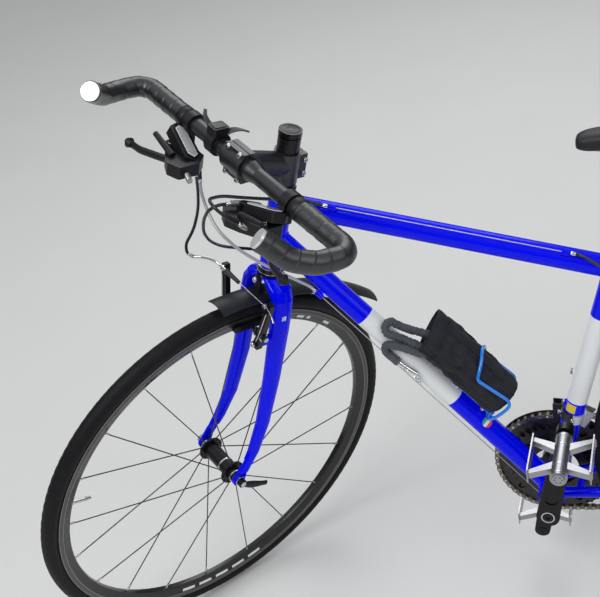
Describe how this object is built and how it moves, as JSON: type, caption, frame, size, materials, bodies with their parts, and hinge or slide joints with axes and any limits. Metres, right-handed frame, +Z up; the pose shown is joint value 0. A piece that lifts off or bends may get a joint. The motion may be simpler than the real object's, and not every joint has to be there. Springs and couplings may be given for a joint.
{
  "type": "hybrid bicycle",
  "caption": "Upright city bicycle with rim brakes, derailleur gears, a taped forward-curving handlebar and a short front mudguard.",
  "frame": {"origin": "top of the saddle, where the rider sits", "axes": "+X forward, +Y to the rider's left, +Z up"},
  "size_m": [1.5294, 0.5504, 1.0317],
  "materials": {
    "frame_paint": "gloss",
    "black_metal": "satin",
    "black_plastic": "satin",
    "bright_steel": "polished",
    "alloy": "satin",
    "rim_black": "satin",
    "tyre": "matte",
    "bar_tape": "satin",
    "saddle_cover": "satin",
    "window": "gloss",
    "grey_plastic": "satin",
    "cable_sleeve": "gloss",
    "wire": "bright",
    "cage_blue": "gloss",
    "pouch_cloth": "matte",
    "lock_sleeve": "matte"
  },
  "bodies": {
    "frame": {"head_tube": "frame_paint", "top_tube": "frame_paint", "down_tube": "frame_paint", "seat_tube": "frame_paint", "bottom_bracket": "frame_paint", "chainstay_left": "frame_paint", "chainstay_right": "frame_paint", "seatstay_left": "frame_paint", "seatstay_right": "frame_paint", "dropout_left": "frame_paint", "dropout_right": "frame_paint", "stay_bridges": "frame_paint", "headset_cups": "black_metal", "seat_clamp": "black_metal", "seatpost": "black_metal", "saddle": "saddle_cover", "saddle_rails": "bright_steel", "front_derailleur": "bright_steel", "rear_derailleur": "black_metal", "chain": "bright_steel", "rear_brake": "black_metal", "bottle_cage": "cage_blue", "cage_pouch": "pouch_cloth", "lock_loops": "lock_sleeve", "frame_cables": "wire", "rear_axle": "black_metal"},
    "steering": {"fork_steerer": "black_metal", "fork_blade_left": "frame_paint", "fork_blade_right": "frame_paint", "stem": "black_metal", "stem_spacers": "black_metal", "handlebar": "black_metal", "bar_tape_left": "bar_tape", "bar_tape_right": "bar_tape", "bar_end_plugs": "alloy", "control_left": "black_plastic", "control_right": "black_plastic", "brake_levers": "black_plastic", "gear_windows": "window", "front_brake": "black_metal", "front_mudguard": "grey_plastic", "front_axle": "black_metal", "accessory_bracket": "black_metal", "brake_cable": "cable_sleeve", "crossing_cables": "cable_sleeve"},
    "front_wheel": {"front_tyre": "tyre", "front_rim": "rim_black", "front_spokes": "rim_black", "front_hub": "black_metal"},
    "rear_wheel": {"rear_tyre": "tyre", "rear_rim": "rim_black", "rear_spokes": "rim_black", "rear_hub": "black_metal", "cassette": "bright_steel"},
    "crankset": {"crank_left": "black_metal", "crank_right": "black_metal", "chainrings": "bright_steel", "chain_guard": "black_plastic"},
    "pedal_left": {"pedal_left": "alloy"},
    "pedal_right": {"pedal_right": "alloy"}
  },
  "joints": [
    {"name": "steering", "type": "hinge", "parent": "frame", "child": "steering", "pos_m": [0.60096, 0, -0.14738], "axis": [-0.3359, 0, 0.9419], "range_deg": [-113.1, 6.9], "deforming": ["crossing_cables"]},
    {"name": "front_wheel_spin", "type": "hinge", "parent": "steering", "child": "front_wheel", "pos_m": [0.77877, 0.03766, -0.56172], "axis": [-0.7532, 0.6004, -0.2687], "continuous": true},
    {"name": "rear_wheel_spin", "type": "hinge", "parent": "frame", "child": "rear_wheel", "pos_m": [-0.183, 0, -0.5554], "axis": [0, 1, 0], "continuous": true},
    {"name": "crank_spin", "type": "hinge", "parent": "frame", "child": "crankset", "pos_m": [0.225, 0, -0.622], "axis": [0, 1, 0], "continuous": true},
    {"name": "pedal_left_spin", "type": "hinge", "parent": "crankset", "child": "pedal_left", "pos_m": [0.18618, 0.134, -0.45649], "axis": [0, 1, 0], "continuous": true},
    {"name": "pedal_right_spin", "type": "hinge", "parent": "crankset", "child": "pedal_right", "pos_m": [0.26382, -0.134, -0.78751], "axis": [0, 1, 0], "continuous": true}
  ]
}
